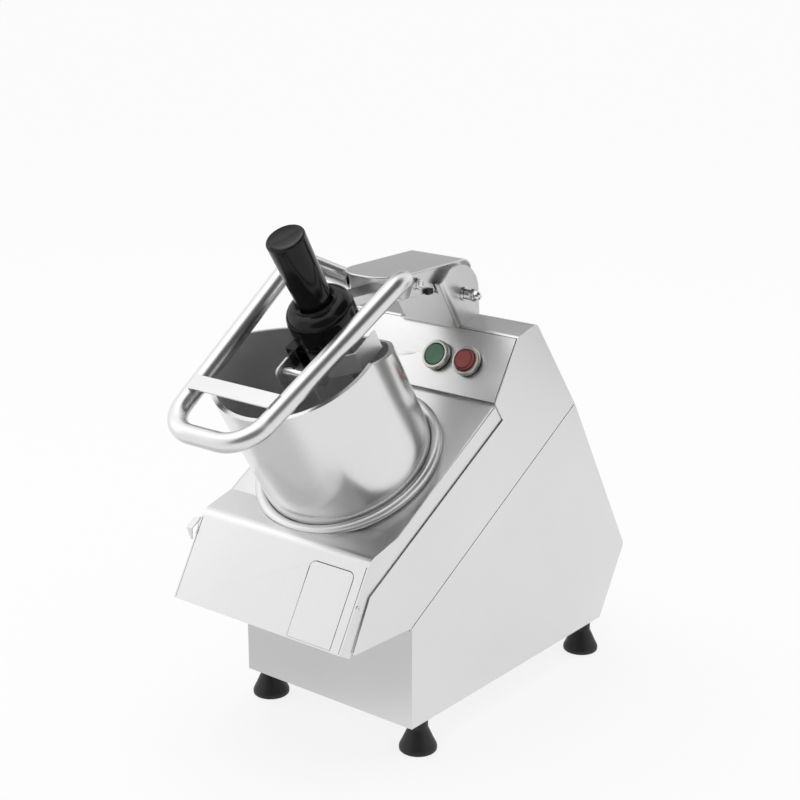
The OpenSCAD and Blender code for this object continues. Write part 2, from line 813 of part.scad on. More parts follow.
// Lid latch on the left: a keeper block on the skirt, and a hook that swings on it
latch_back = 2.5;
latch_drop = 18;
latch_at = lid_edge + [latch_back, -latch_drop];
latch_pin_r = 3;
latch_out = half_w + 0.6;
module at_latch() {
  translate([0, latch_at.x, latch_at.y]) children();
}
module latch_keeper() {
  color(bright) at_latch() {
    rod_x(latch_pin_r, -latch_out - 7, -lid_half);
    rod_x(6, -lid_half - 2, -lid_half);
    rod_x(5, -latch_out - 7, -latch_out - 5);
  }
}
module latch_hook() {
  outline = [[-7, -7], [-7, 7], [14, 7], [14, -2], [7, -7], [3, -20], [-6, -24], [-9, -18], [-3, -15]];
  color(bright) at_latch() difference() {
    slab(-latch_out - 4, -latch_out) polygon(outline);
    rod_x(latch_pin_r + running, -2 * latch_out, 0);
  }
}

// Drive spindle, the slicing disc it carries, and the ejector below
disc_top = -5;
disc_low = disc_top - disc_t;
ejector_low = bowl_low + bowl_floor + 2;
blade_h = 2.5;
module spindle_shaft() {
  color(bright) feed() translate([0, 0, spindle_low]) cylinder(r = spindle_r, h = disc_low - spindle_low);
}
slot_w = 16;
slot_from = 24;
module cutting_disc() {
  color(bright) feed() difference() {
    translate([0, 0, disc_low]) cylinder(r = disc_r, h = disc_t);
    for (turn = [0, 180])
      rotate([0, 0, turn]) translate([slot_from, 0, disc_low - 1])
        cube([disc_r - slot_from - 8, slot_w, disc_t + 2]);
  }
}
module disc_blades() {
  end_room = 4;
  reach = 6;
  tail = 14;
  edge = 0.5;
  color(steel) feed() for (turn = [0, 180])
    rotate([0, 0, turn]) translate([slot_from - end_room, slot_w, disc_top])
      rotate([90, 0, 90]) linear_extrude(height = disc_r - slot_from - end_room)
        polygon([[-reach, blade_h - edge], [-reach, blade_h], [0, blade_h], [tail, 0], [0, 0]]);
}
module ejector_disc() {
  plate_t = 3;
  paddle_h = 22;
  hub_r = 18;
  reach = bowl_r - 4;
  color(black) feed() difference() {
    union() {
      translate([0, 0, ejector_low]) cylinder(r = reach, h = plate_t);
      translate([0, 0, ejector_low]) cylinder(r = hub_r, h = disc_low - ejector_low);
      for (turn = [0 : 90 : 270])
        rotate([0, 0, turn]) translate([0, -2, ejector_low]) cube([reach - 2, 4, plate_t + paddle_h]);
    }
    translate([0, 0, ejector_low - 1]) cylinder(r = spindle_r + running, h = past * 2);
  }
}
module disc_nut() {
  color(black) feed() translate([0, 0, disc_top]) cylinder(r = 14, h = 5);
}

// Lever tube: one bent tube from cheek to cheek round the loop
function bend_half(p, i) = acos(unit(p[i - 1] - p[i]) * unit(p[i + 1] - p[i])) / 2;
function bend_cut(p, r, i) = i == 0 || i == len(p) - 1 ? 0 : r[i] / tan(bend_half(p, i));
module tube_run(from, to, r) {
  v = to - from;
  translate(from) rotate([0, acos(v.z / norm(v)), atan2(v.y, v.x)]) cylinder(r = r, h = norm(v));
}
module tube_bend(a, b, c, bend, r) {
  u = unit(a - b);
  v = unit(c - b);
  half = acos(u * v) / 2;
  centre = b + unit(u + v) * bend / sin(half);
  out = unit(b + u * bend / tan(half) - centre);
  up = cross(out, -u);
  tip = acos(up.z);
  swing = atan2(up.y, up.x);
  level = [cos(swing) * cos(tip), sin(swing) * cos(tip), -sin(tip)];
  spin = atan2(out * [-sin(swing), cos(swing), 0], out * level);
  translate(centre) rotate([0, tip, swing]) rotate([0, 0, spin])
    rotate_extrude(angle = 180 - 2 * half) translate([bend, 0]) circle(r = r);
}
module bent_tube(p, bends, r) {
  for (i = [0 : len(p) - 2]) {
    d = unit(p[i + 1] - p[i]);
    into = d * joint_run;
    tube_run(p[i] + d * bend_cut(p, bends, i) - into, p[i + 1] - d * bend_cut(p, bends, i + 1) + into, r);
  }
  for (i = [1 : len(p) - 2])
    tube_bend(p[i - 1], p[i], p[i + 1], bends[i], r - joint_step);
}
tube_foot = [hub_half - 9, 21.2, 126.9];
loop_side = [
  tube_foot,
  [loop_half_back, -loop_back, loop_rise],
  [loop_half_front, -loop_front, loop_rise]
];
function mirrored(p) = [-p.x, p.y, p.z];
loop_path = concat(loop_side, [for (i = [2 : -1 : 0]) mirrored(loop_side[i])]);
loop_bends = [0, loop_heel, loop_bend, loop_bend, loop_heel, 0];
module lever_tube() {
  color(bright) deck() difference() {
    bent_tube(loop_path, loop_bends, tube_r);
    bent_tube(loop_path, loop_bends, tube_r - tube_wall);
    translate([-hub_half, -past, tube_foot.z - past]) cube([2 * hub_half, 3 * past, 2 * past]);
  }
}

// Plate across the loop, let down a little between the tops of the arms
plate_t = 2;
plate_front = 222.5;
plate_back = 203.3;
plate_sink = 0.3;
function arm_x(s) =
  loop_half_back + (loop_half_front - loop_half_back) * (s - loop_back) / (loop_front - loop_back);
module cross_plate() {
  lean = atan((loop_half_back - loop_half_front) / (loop_front - loop_back));
  room = sqrt(pow(tube_r, 2) - pow(tube_r - plate_sink, 2)) / cos(lean) + slip;
  front_x = arm_x(plate_front) - room;
  back_x = arm_x(plate_back) - room;
  color(steel) deck() translate([0, 0, loop_rise + tube_r - plate_sink]) linear_extrude(height = plate_t)
    polygon([[-front_x, -plate_front], [front_x, -plate_front], [back_x, -plate_back], [-back_x, -plate_back]]);
}

// Lever hub: two cheeks on the hinge pin, joined by a web, a stop plate and a boss
cheek_t = 3;
hub_top = hub_cover_rise - 2;
hub_nose = 112;
web_at = 86;
hub_web_t = 4;
module lever_hub() {
  nose_cut = 6;
  heel = 8;
  stop_l = 16;
  cheek = [
    [nose_cut - hub_nose, hub_low], [heel, hub_low], [curl_at + heel, hub_cover_rise - curl_r],
    [curl_at, hub_top], [-hub_nose, hub_top]
  ];
  boss_r = 17;
  inside = hub_half - cheek_t;
  color(steel) at_pin() difference() {
    union() {
      both_sides() {
        slab(inside, hub_half) polygon(cheek);
        rod_x(boss_r, inside, hub_half);
      }
      rod_x(boss_r - 8, -inside, inside);
      translate([-inside, -web_at - hub_web_t, hub_low]) cube([2 * inside, hub_web_t, hub_top - hub_low]);
      translate([-inside, bumper_y - pin.x - stop_l / 2, stop_low]) cube([2 * inside, stop_l, cheek_t]);
    }
    rod_x(pin_d / 2 + running, -2 * ear_half, 2 * ear_half);
  }
}

// Cover plate over the hub, round at the front and curled down behind the pin
curl_r = 16;
curl_at = 5;
cover_corner = 32;
module lever_cover() {
  front = -hub_cover_l;
  flat = rounded(
    [[-hub_cover_half, front], [hub_cover_half, front], [hub_cover_half, curl_at], [-hub_cover_half, curl_at]],
    [cover_corner, cover_corner, 0, 0], 16
  );
  curl = arc([curl_at, hub_cover_rise - curl_r], curl_r, 0, 90, 16);
  color(steel) at_pin() {
    translate([0, 0, hub_top]) linear_extrude(height = hub_cover_rise - hub_top) polygon(flat);
    across(2 * hub_cover_half) polygon(strip(curl, hub_cover_rise - hub_top));
  }
}

// Bolt and block on the right cheek
module hub_bolt() {
  color(bright) at_pin() translate([0, -73, 23]) {
    rod_x(7, hub_half, hub_half + 2);
    rotate([0, 90, 0]) translate([0, 0, hub_half + 2]) cylinder(r = 6, h = 5, $fn = 6);
  }
}

// Carrier bar from the hub's web to the guide head
bar_half = 15;
bar_low = 10.5;
bar_h = 10;
module at_plunger() {
  feed() translate([plunger_x, plunger_behind, 0]) children();
}
module carrier_bar() {
  color(steel) difference() {
    at_pin() translate([-bar_half, -web_at - hub_web_t - 100, bar_low]) cube([2 * bar_half, 100, bar_h]);
    at_plunger() translate([0, 0, past]) cylinder(r = head_r + slip, h = 4 * head_top);
    at_plunger() translate([-4 * head_r, -8 * head_r, 0]) cube([8 * head_r, 8 * head_r, 2 * head_top]);
  }
}

// Guide head: a domed collar round the plunger, with two lugs down to the pusher's pivot
lug_in = 8;
lug_out = 22;
lug_low = pivot_rise - 5;
module guide_head() {
  bore = rod_r + swing_room;
  dome = 14;
  edge = 2;
  neck_in = handle_r + swing_room;
  neck_out = neck_in + 2.5;
  neck_h = 3;
  collar = concat(
    [[bore, head_low], [head_r - edge, head_low], [head_r, head_low + edge]],
    arc([head_r - dome, head_top - dome], dome, 0, 75, 10),
    [[neck_out + edge / 4, head_top], [neck_out, head_top + neck_h], [neck_in, head_top + neck_h],
      [neck_in, head_top - edge], [bore, head_top - edge]]
  );
  color(black) {
    at_plunger() rotate_extrude() polygon(collar);
    feed() both_sides() slab(lug_in, lug_out)
      polygon([[8, lug_low], [8, head_low + 6], [32, head_low + 6], [32, head_low - 6], [16, lug_low]]);
  }
}

// Knuckle between the lugs on the pusher's pivot pin
knuckle_r = 6;
module at_pivot() {
  feed() translate([0, -pivot_ahead, pivot_rise]) children();
}
module pivot_knuckle() {
  color(bright) at_pivot() difference() {
    union() {
      rod_x(knuckle_r, -lug_out, lug_out);
      translate([-lug_in, 0, -1]) cube([2 * lug_in, 24, 7]);
    }
    rod_x(pivot_d / 2 + running, -2 * lug_out, 2 * lug_out);
  }
}
cheek_in = lug_out + 1.5;
cheek_out = cheek_in + 3;
module pivot_pin() {
  color(bright) at_pivot() {
    rod_x(pivot_d / 2, -cheek_out - 4, cheek_out + 4);
    rod_x(pivot_d / 2 + 2.5, -cheek_out - 4, -cheek_out - seated);
    rod_x(pivot_d / 2 + 2.5, cheek_out + seated, cheek_out + 4);
  }
}

// Pusher: a folded tray that lies in the foot of the hopper
tray_back = hopper_back - 17;
tray_front = hopper_r - 28.5;
tray_back_half = pusher_half - 34;
tray_front_half = pusher_half - 30;
tray_side = 20.5;
pusher_plan = [
  [tray_back_half, tray_back], [-tray_back_half, tray_back], [-pusher_half, tray_side],
  [-pusher_half, -tray_side], [-tray_front_half, -tray_front], [tray_front_half, -tray_front],
  [pusher_half, -tray_side], [pusher_half, tray_side]
];
pusher_walls = [for (i = pusher_plan) pusher_sheet];
guide_r = rod_r + 2;
module pusher_box() {
  floor_hole = guide_r + running;
  color(steel) feed() difference() {
    translate([0, 0, pusher_gap]) linear_extrude(height = pusher_h - pusher_gap) polygon(pusher_plan);
    translate([0, 0, pusher_gap + pusher_sheet]) linear_extrude(height = pusher_h)
      polygon(inset(pusher_plan, pusher_walls));
    translate([plunger_x, plunger_behind, 0]) cylinder(r = floor_hole, h = past / 2);
  }
}

// Cheeks that stand on the pusher's floor and turn on the pivot pin
module pusher_cheeks() {
  floor_at = pusher_gap + pusher_sheet;
  top = pivot_rise + 10;
  back = -16;
  front = 32;
  notch_back = 14;
  notch_front = 19;
  notch_low = top - 8;
  nose_at = 24;
  nose_top = top + 4;
  outline = rounded(
    [[back, floor_at], [back, top], [notch_back - 6, top], [notch_back, notch_low], [notch_front, notch_low],
      [notch_front, top + 2], [nose_at, nose_top], [front, nose_top], [front, floor_at]],
    [0, 8, 4, 0, 0, 0, 0, 0, 0]
  );
  color(steel) difference() {
    feed() both_sides() slab(cheek_in, cheek_out) polygon(outline);
    at_pivot() rod_x(pivot_d / 2 + running, -2 * cheek_out, 2 * cheek_out);
  }
}

// Guard: a folded strip from the right cheek round the plunger's right side
module pusher_guard() {
  low = pivot_rise - 6;
  high = pivot_rise + 19;
  rim_x = 60;
  rim_from = 24;
  rim_to = 61;
  shoulder = [-10, -6];
  path = [[cheek_in, 3], [rim_x, rim_from] + shoulder, [rim_x, rim_from], [rim_x, rim_to]];
  color(steel) feed() difference() {
    translate([0, 0, low]) linear_extrude(height = high - low) polygon(strip(path, pusher_sheet));
    translate([cheek_out - past, -past, low - past]) cube([past, 3 * past, 3 * past]);
  }
}

// Guide tube for the plunger's rod, standing in the pusher's floor
module guide_tube() {
  top_room = 7;
  color(bright) at_plunger() ring(rod_r + running, guide_r, pusher_gap, head_low - top_room);
}

// Hand plunger: a handle with a dished cap, on a straight rod
handle_low = head_top + 0.5;
module plunger_handle() {
  top = handle_low + handle_l;
  top_r = handle_r + handle_flare;
  rim = 2.5;
  dish = 1;
  profile = concat(
    [[0, handle_low], [handle_r - dish, handle_low], [handle_r, handle_low + dish]],
    arc([top_r - rim, top - rim], rim, 0, 100, 8),
    [[0, top - 2 * dish]]
  );
  color(black) at_plunger() rotate_extrude() polygon(profile);
}
module plunger_rod() {
  color(black) at_plunger() translate([0, 0, pusher_gap]) cylinder(r = rod_r, h = handle_low - pusher_gap);
}

base_shell();
bottom_plate();
upper_shell();
button_panel();
foot(foot_places[0]);  // foot_front_left
foot(foot_places[1]);  // foot_rear_left
foot(foot_places[2]);  // foot_front_right
foot(foot_places[3]);  // foot_rear_right
foot_studs();
cable_gland();
floor_plate();
chamber_bowl();
discharge_chute();
bearing_housing();
upper_bearing();
lower_bearing();
motor_body();
start_bezel();
stop_bezel();
start_switch();
stop_switch();
hinge_bracket();
hinge_pin();
lever_bumpers();
lid();
apron_plate();
hopper();
hopper_ring();
lid_screw();
latch_keeper();
latch_hook();
spindle_shaft();
cutting_disc();
disc_blades();
ejector_disc();
disc_nut();
lever_tube();
lever_hub();
lever_cover();
cross_plate();
carrier_bar();
guide_head();
pivot_knuckle();
pivot_pin();
hub_bolt();
pusher_box();
pusher_cheeks();
pusher_guard();
guide_tube();
plunger_handle();
plunger_rod();
start_button();
stop_button();
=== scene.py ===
import json
import math

import bpy
from mathutils import Euler, Matrix, Vector


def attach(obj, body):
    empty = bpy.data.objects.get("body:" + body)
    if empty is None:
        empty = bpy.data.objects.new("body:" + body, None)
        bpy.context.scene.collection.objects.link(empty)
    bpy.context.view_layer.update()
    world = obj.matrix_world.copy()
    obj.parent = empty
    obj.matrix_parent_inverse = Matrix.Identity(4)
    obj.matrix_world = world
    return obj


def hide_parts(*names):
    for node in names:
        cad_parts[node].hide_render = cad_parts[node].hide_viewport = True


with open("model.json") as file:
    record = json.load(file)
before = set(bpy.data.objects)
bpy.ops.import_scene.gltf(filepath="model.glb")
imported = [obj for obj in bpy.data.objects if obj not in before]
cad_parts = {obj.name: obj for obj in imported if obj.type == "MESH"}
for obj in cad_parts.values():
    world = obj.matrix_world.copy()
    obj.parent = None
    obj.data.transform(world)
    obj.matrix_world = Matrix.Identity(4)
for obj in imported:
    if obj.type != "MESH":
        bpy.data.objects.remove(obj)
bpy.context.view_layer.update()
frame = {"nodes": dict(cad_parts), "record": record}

# Studio: a pale floor and plain soft light all round, as for a catalogue picture.
# Floor and world are white to the camera and in the metal; the floor keeps the machine's shadow.
# Soft-edged cards that only the metal sees give its curves their darker streaks.
scene = bpy.context.scene
scene.view_settings.view_transform = "Standard"
white = (1, 1, 1, 1)
machine_middle = (0, 0, 0.3)


class Signal:
    """One socket of a node tree. Sums and products of signals add Math nodes."""

    def __init__(self, nodes, socket):
        self.nodes = nodes
        self.socket = socket

    def maths(self, operation, first, second):
        return self.nodes.node("ShaderNodeMath", {"operation": operation}, {0: first, 1: second})

    def __add__(self, other):
        return self.maths("ADD", self, other)

    def __sub__(self, other):
        return self.maths("SUBTRACT", self, other)

    def __rsub__(self, other):
        return self.maths("SUBTRACT", other, self)

    def __mul__(self, other):
        return self.maths("MULTIPLY", self, other)

    __radd__ = __add__
    __rmul__ = __mul__


class Nodes:
    """A node tree, with one method that adds any node: settings first, then values or links."""

    def __init__(self, tree):
        self.tree = tree

    def node(self, kind, settings, sockets, output=0):
        made = self.tree.nodes.new(kind)
        for name, value in settings.items():
            if name == "stops":
                for stop, (place, colour) in zip(made.color_ramp.elements, value):
                    stop.position = place
                    stop.color = (*colour, 1)
            else:
                setattr(made, name, value)
        for name, value in sockets.items():
            self.put(made.inputs[name], value)
        return Signal(self, made.outputs[output])

    def put(self, socket, value):
        if isinstance(value, Signal):
            self.tree.links.new(value.socket, socket)
        else:
            socket.default_value = value

    def show(self, output, shader):
        """Links the shader that the whole tree shows to its output node."""
        self.put(self.tree.nodes[output].inputs["Surface"], shader)


class Finish(Nodes):
    """A material. A number goes on the shader's own socket, and a signal is linked to it."""

    def __init__(self, name, **sockets):
        self.material = bpy.data.materials.new(name)
        self.material.use_nodes = True
        super().__init__(self.material.node_tree)
        self.shader = self.tree.nodes["Principled BSDF"]
        self.set(**sockets)

    def set(self, **sockets):
        for name, value in sockets.items():
            self.put(self.shader.inputs[name.replace("_", " ")], value)


def seen_directly(nodes):
    camera_ray, glossy_ray, clear_ray = [
        nodes.node("ShaderNodeLightPath", {}, {}, name)
        for name in ("Is Camera Ray", "Is Glossy Ray", "Is Transmission Ray")]
    return camera_ray + glossy_ray + clear_ray


world = bpy.data.worlds.new("studio")
world.use_nodes = True
scene.world = world
sky = Nodes(world.node_tree)
sky_white = sky.node("ShaderNodeBackground", {}, {"Color": white, "Strength": 1.0})
sky_light = sky.node("ShaderNodeBackground", {}, {"Color": white, "Strength": 0.85})
sky.show("World Output", sky.node("ShaderNodeMixShader", {}, {
    0: seen_directly(sky), 1: sky_light, 2: sky_white}))

floor_width = 160
shadow_share = 0.2
bpy.ops.object.select_all(action="DESELECT")
bpy.ops.mesh.primitive_plane_add(size=floor_width, location=(0, 0, 0))
floor = bpy.context.object
floor.name = "studio_floor"
floor_finish = Finish("floor_paint", Base_Color=(0.97, 0.97, 0.97, 1), Roughness=0.9)
floor_matt = Signal(floor_finish, floor_finish.shader.outputs[0])
floor_glow = floor_finish.node("ShaderNodeEmission", {}, {"Color": white, "Strength": 1.0})
floor_white = floor_finish.node("ShaderNodeMixShader", {}, {0: shadow_share, 1: floor_glow, 2: floor_matt})
floor_finish.show("Material Output", floor_finish.node("ShaderNodeMixShader", {}, {
    0: seen_directly(floor_finish), 1: floor_matt, 2: floor_white}))
floor.data.materials.append(floor_finish.material)


def softbox(name, place, width, height, power):
    """A soft lamp that looks at the machine's middle and stays out of the picture."""
    lamp = bpy.data.lights.new(name, "AREA")
    lamp.shape = "RECTANGLE"
    lamp.size = width
    lamp.size_y = height
    lamp.energy = power
    holder = bpy.data.objects.new(name, lamp)
    scene.collection.objects.link(holder)
    holder.location = place
    holder.rotation_euler = (Vector(machine_middle) - Vector(place)).to_track_quat("-Z", "Y").to_euler()
    holder.visible_camera = False


softbox("softbox_top", (-0.4, -0.6, 2.3), width=2.4, height=2.4, power=9)
softbox("softbox_left", (-2.2, -1.2, 1.2), width=1.4, height=1.8, power=3)


def flag(name, place, width, height, grey, target=(0, 0, 0.35)):
    """A card that faces its target and fades out to its edge, seen by glossy rays alone."""
    bpy.ops.object.select_all(action="DESELECT")
    bpy.ops.mesh.primitive_plane_add(size=2, location=place)
    card = bpy.context.object
    card.name = name
    card.scale = (width / 2, height / 2, 1)
    card.rotation_euler = (Vector(target) - Vector(place)).to_track_quat("Z", "Y").to_euler()
    finish = Finish(name + "_paint")
    middle = finish.node("ShaderNodeTexGradient", {"gradient_type": "SPHERICAL"}, {
        "Vector": finish.node("ShaderNodeTexCoord", {}, {}, "Object")})
    solid = finish.node("ShaderNodeMapRange", {"interpolation_type": "SMOOTHSTEP"}, {
        "Value": middle, "From Min": 0.0, "From Max": 0.45})
    clear = finish.node("ShaderNodeBsdfTransparent", {}, {})
    paint = finish.node("ShaderNodeEmission", {}, {"Color": (grey, grey, grey, 1), "Strength": 1.0})
    finish.show("Material Output", finish.node("ShaderNodeMixShader", {}, {0: solid, 1: clear, 2: paint}))
    card.data.materials.append(finish.material)
    for kind in ("camera", "diffuse", "transmission", "shadow", "volume_scatter"):
        setattr(card, "visible_" + kind, False)


flag("flag_front", (1.50, -2.05, 1.10), width=5.6, height=3.8, grey=0.18)
flag("flag_right", (1.05, 0.25, 1.75), width=2.6, height=2.6, grey=0.06)
flag("flag_top", (-1.30, 1.55, 1.65), width=1.9, height=1.2, grey=0.08)
flag("flag_back", (-1.2, 1.7, 0.95), width=2.4, height=1.2, grey=0.55)
flag("flag_side", (0.52, 1.15, 0.27), width=0.62, height=0.56, grey=0.18)
# The low card on the floor in front is a painted shadow of the floor under the apron, seen only in the
# base's front wall.
flag("flag_low", (-0.20, -0.36, 0.004), width=0.80, height=0.60, grey=0.68, target=(-0.20, -0.36, 1))

# Camera: a long lens above the right front corner, at the photograph's height and distance.
# It looks along one straight line, with no shift and no depth of field.
camera_turn = math.radians(38.6534)
camera_rise = math.radians(16.9323)
camera_place = (1.135563, -1.409198, 0.906536)
film_width = 36
photo_width = 800
focal_pixels = 1699.975
camera = bpy.data.objects.new("camera", bpy.data.cameras.new("camera"))
scene.collection.objects.link(camera)
camera.data.sensor_width = film_width
camera.data.lens = focal_pixels / photo_width * film_width
camera.data.clip_end = 200
camera.location = camera_place
camera_back = Vector((math.sin(camera_turn) * math.cos(camera_rise),
                      -math.cos(camera_turn) * math.cos(camera_rise), math.sin(camera_rise)))
camera.rotation_euler = camera_back.to_track_quat("Z", "Y").to_euler()
scene.camera = camera

# Base housing: folded from 1.5 mm stainless sheet with a fine blasted grain, open below.
# A slotted plate closes the underside; both have their cut edges dressed to a small round.
body_of = {node: body for body, nodes in frame["record"]["behaviour"]["bodies"].items() for node in nodes}
steel_tone = (0.77, 0.77, 0.77)
sheet_edge = 0.0004
sharp_angle = 38


def grained_steel(name, tone, rough, grain_scale, relief):
    """Steel with a blasted grain, clouds of uneven blasting and faint strokes from wiping."""
    finish = Finish(name, Metallic=1.0)
    place = finish.node("ShaderNodeTexCoord", {}, {}, "Object")
    grain = finish.node("ShaderNodeTexNoise", {}, {
        "Vector": place, "Scale": grain_scale, "Detail": 5.0, "Roughness": 0.7})
    cloud = finish.node("ShaderNodeTexNoise", {}, {"Vector": place, "Scale": 11.0, "Detail": 3.0})
    strokes = finish.node("ShaderNodeMapping", {}, {
        "Vector": place, "Rotation": (0.3, 0.2, 0.5), "Scale": (900, 40, 420)})
    scuff = finish.node("ShaderNodeTexNoise", {}, {"Vector": strokes, "Scale": 1.0, "Detail": 2.0})
    shade = finish.node("ShaderNodeValToRGB", {"stops": [
        (0.30, tuple(0.93 * c for c in tone)), (0.70, tuple(min(1.03 * c, 1) for c in tone))]},
        {0: grain * 0.75 + cloud * 0.25})
    finish.set(
        Base_Color=shade,
        Roughness=(grain - 0.5) * 0.06 + (cloud - 0.5) * 0.03 + (scuff - 0.5) * 0.02 + rough,
        Normal=finish.node("ShaderNodeBump", {}, {
            "Strength": relief, "Distance": 0.0002, "Height": grain}))
    return finish


def alone(piece):
    """Makes a piece the only one that an operator acts on."""
    bpy.ops.object.select_all(action="DESELECT")
    piece.select_set(True)
    bpy.context.view_layer.objects.active = piece


def applied(piece, kind, **settings):
    """Puts one modifier on a piece and applies it."""
    modifier = piece.modifiers.new(kind.lower(), kind)
    for name, value in settings.items():
        setattr(modifier, name, value)
    bpy.context.view_layer.objects.active = piece
    bpy.ops.object.modifier_apply(modifier=modifier.name)


def fitted(piece, finish, body, angle=sharp_angle):
    """Smooths a finished piece between its sharp edges, and gives it its finish and its body."""
    alone(piece)
    bpy.ops.object.shade_smooth_by_angle(angle=math.radians(angle))
    applied(piece, "WEIGHTED_NORMAL", keep_sharp=True)
    piece.data.materials.clear()
    piece.data.materials.append(finish.material)
    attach(piece, body)
    return piece


def rounded_off(piece, width, angle=sharp_angle, segments=2):
    applied(piece, "BEVEL", width=width, segments=segments,
            limit_method="ANGLE", angle_limit=math.radians(angle))


def copied(node):
    """A copy of a solid with its loose triangles joined and its flat faces made whole."""
    piece = bpy.data.objects.new(node + "_dressed", frame["nodes"][node].data.copy())
    scene.collection.objects.link(piece)
    alone(piece)
    bpy.ops.object.mode_set(mode="EDIT")
    bpy.ops.mesh.select_all(action="SELECT")
    bpy.ops.mesh.remove_doubles(threshold=2e-6)
    bpy.ops.mesh.dissolve_limited(angle_limit=math.radians(0.4))
    bpy.ops.object.mode_set(mode="OBJECT")
    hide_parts(node)
    return piece


def dressed(node, finish, edge=sheet_edge):
    """A copy of a solid with its sharp edges rounded off."""
    piece = copied(node)
    rounded_off(piece, edge)
    return fitted(piece, finish, body_of[node])


satin_steel = grained_steel("satin_steel", steel_tone, rough=0.31, grain_scale=900, relief=0.03)
for node in ("base_shell", "bottom_plate"):
    dressed(node, satin_steel)

# Bottom screws: six pan heads with a socket, turned from bright steel.
# They hold the bottom plate up against the folded edge of the base.
bright_steel = grained_steel("bright_steel", (0.78, 0.78, 0.78), rough=0.16, grain_scale=300, relief=0.01)
turned_angle = 30


def posed(piece, place, turn):
    """Sets the selected piece in its place, in metres, with its turn in degrees kept in its mesh."""
    piece.matrix_world = (Matrix.Translation(place)
                          @ Euler([math.radians(a) for a in turn]).to_matrix().to_4x4())
    bpy.ops.object.transform_apply(location=True, rotation=True, scale=True)


def turned(name, profile, place, turn=(0, 0, 0), steps=72, edge=0.0):
    """A lathe piece: radius and height in mm down the profile, spun and set in its place in mm."""
    bpy.ops.object.select_all(action="DESELECT")
    bpy.ops.mesh.primitive_plane_add(size=0.001)
    piece = bpy.context.object
    piece.name = name
    bpy.ops.object.mode_set(mode="EDIT")
    bpy.ops.mesh.select_mode(type="VERT")
    bpy.ops.mesh.select_all(action="SELECT")
    bpy.ops.mesh.merge(type="CENTER")
    at = (0, 0)
    for index, (radius, height) in enumerate(profile):
        move = ((radius - at[0]) / 1000, 0, (height - at[1]) / 1000)
        if index:
            bpy.ops.mesh.extrude_region_move(TRANSFORM_OT_translate={"value": move})
        else:
            bpy.ops.transform.translate(value=move)
        at = (radius, height)
    bpy.ops.mesh.select_all(action="SELECT")
    bpy.ops.mesh.spin(steps=steps, angle=2 * math.pi, center=(0, 0, 0), axis=(0, 0, 1))
    bpy.ops.mesh.select_all(action="SELECT")
    bpy.ops.mesh.remove_doubles(threshold=1e-6)
    bpy.ops.mesh.normals_make_consistent(inside=False)
    bpy.ops.object.mode_set(mode="OBJECT")
    if edge:
        rounded_off(piece, edge, turned_angle, segments=3)
    posed(piece, Vector(place) / 1000, turn)
    return piece


plate_level = 36.8
screw_places = [(x, y) for x in (-100, 100) for y in (-50, 80, 190)]
pan_head = [(0, -0.9), (1.9, -0.9), (2.0, -1.9), (2.6, -2.1), (3.7, -1.7), (4.4, -0.8), (4.5, 0), (0, 0)]
for number, (x, y) in enumerate(screw_places):
    screw = turned("bottom_screw_%d" % (number + 1), pan_head, (x, y, plate_level), steps=36)
    fitted(screw, bright_steel, "body")

# Feet: four black rubber cones moulded round a steel stud, with a broad rounded sole.
# Each stud passes through the bottom plate and is held by a nut inside.
def moulded(name, colour, rough, relief, **sockets):
    """Moulded plastic or rubber: a fine texture from the tool, and dull patches from handling."""
    finish = Finish(name, **sockets)
    place = finish.node("ShaderNodeTexCoord", {}, {}, "Object")
    tool = finish.node("ShaderNodeTexNoise", {}, {"Vector": place, "Scale": 1400.0, "Detail": 3.0})
    dull = finish.node("ShaderNodeTexNoise", {}, {
        "Vector": place, "Scale": 26.0, "Detail": 4.0, "Roughness": 0.6})
    finish.set(
        Base_Color=finish.node("ShaderNodeValToRGB", {"stops": [
            (0.32, tuple(0.82 * c for c in colour)), (0.72, tuple(1.22 * c for c in colour))]},
            {0: dull * 0.7 + tool * 0.3}),
        Roughness=(dull - 0.5) * 0.16 + (tool - 0.5) * 0.08 + rough,
        Normal=finish.node("ShaderNodeBump", {}, {
            "Strength": relief, "Distance": 0.0002, "Height": tool * 0.6 + dull * 0.4}))
    return finish


rubber = moulded("black_rubber", (0.010, 0.010, 0.010), rough=0.46, relief=0.12, Specular_IOR_Level=0.4)
foot_side, foot_front, foot_rear = 108.85, -94.0, 231.3
foot_profile = [
    (0, 0), (18.4, 0), (20.0, 0.4), (20.8, 1.2), (21, 2.2), (21, 4.6), (20.7, 6.0), (19.9, 7.6),
    (17.2, 13.2), (14.8, 18.6), (12.8, 23.0), (11.6, 25.6), (11.1, 27.4), (11, 29.0),
    (11, plate_level), (0, plate_level)]
for side, x in (("left", -foot_side), ("right", foot_side)):
    for end, y in (("front", foot_front), ("rear", foot_rear)):
        node = "foot_%s_%s" % (end, side)
        foot = turned(node + "_moulded", foot_profile, (x, y, 0))
        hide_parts(node)
        fitted(foot, rubber, "body")


def clothe(node, finish):
    """Puts a finish on a solid that is shown as it is."""
    materials = frame["nodes"][node].data.materials
    materials.clear()
    materials.append(finish.material)


clothe("foot_studs", bright_steel)

# Cable gland: a black moulded nut with grip ribs on a hexagon flange, low on the rear wall.
# It holds a rubber seal for the cord, and a locknut inside the wall holds the gland.
gloss_black = moulded(
    "gloss_black", (0.0045, 0.0045, 0.005), rough=0.10, relief=0.015, Specular_IOR_Level=0.24)
gland_place = (0, 281.11, 78.10)
wall_lean = 58.7
gland_turn = (wall_lean - 180, 0, 0)
gland_flange = turned("gland_flange", [
    (4.6, -1), (11, -1), (11, 5), (4.6, 5), (4.6, -1)], gland_place, gland_turn, steps=6, edge=0.0006)
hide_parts("cable_gland")
fitted(gland_flange, gloss_black, "body")


